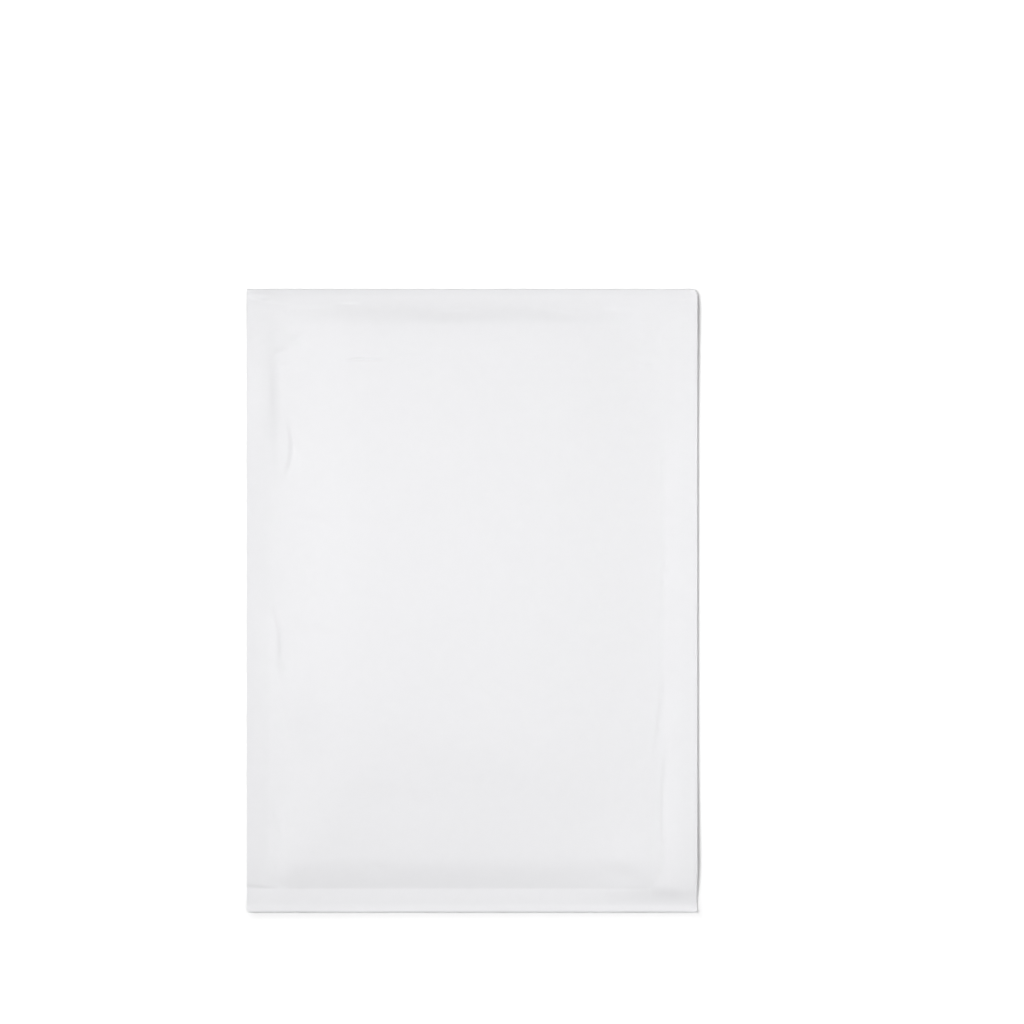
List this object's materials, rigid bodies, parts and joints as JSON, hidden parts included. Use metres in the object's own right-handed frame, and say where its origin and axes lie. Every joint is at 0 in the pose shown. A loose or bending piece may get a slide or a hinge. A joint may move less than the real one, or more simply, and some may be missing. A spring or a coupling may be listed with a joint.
{
  "type": "padded envelope",
  "caption": "Flat paper mailing envelope with a raised padded middle, pressed seams at the sides and bottom, a bubble film lining and a flap folded behind.",
  "frame": {"origin": "centre of the outline, on the surface that the envelope lies on", "axes": "+Y towards the top fold with the flap folded behind, +Z out of the address face, +X to the right of the address face"},
  "size_m": [0.2, 0.277, 0.0078],
  "materials": {
    "kraft_paper": "white machine-finished kraft, matt with a faint sheen",
    "bubble_film": "clear polyethylene bubble film",
    "hot_melt": "tacky hot-melt adhesive",
    "silicone_paper": "smooth silicone-coated release paper",
    "clear_film": "clear glossy tape"
  },
  "bodies": {
    "root": {"paper_pocket": "kraft_paper", "bubble_lining": "bubble_film", "adhesive_strip": "hot_melt", "release_liner": "silicone_paper", "reopen_tape": "clear_film"}
  },
  "joints": []
}
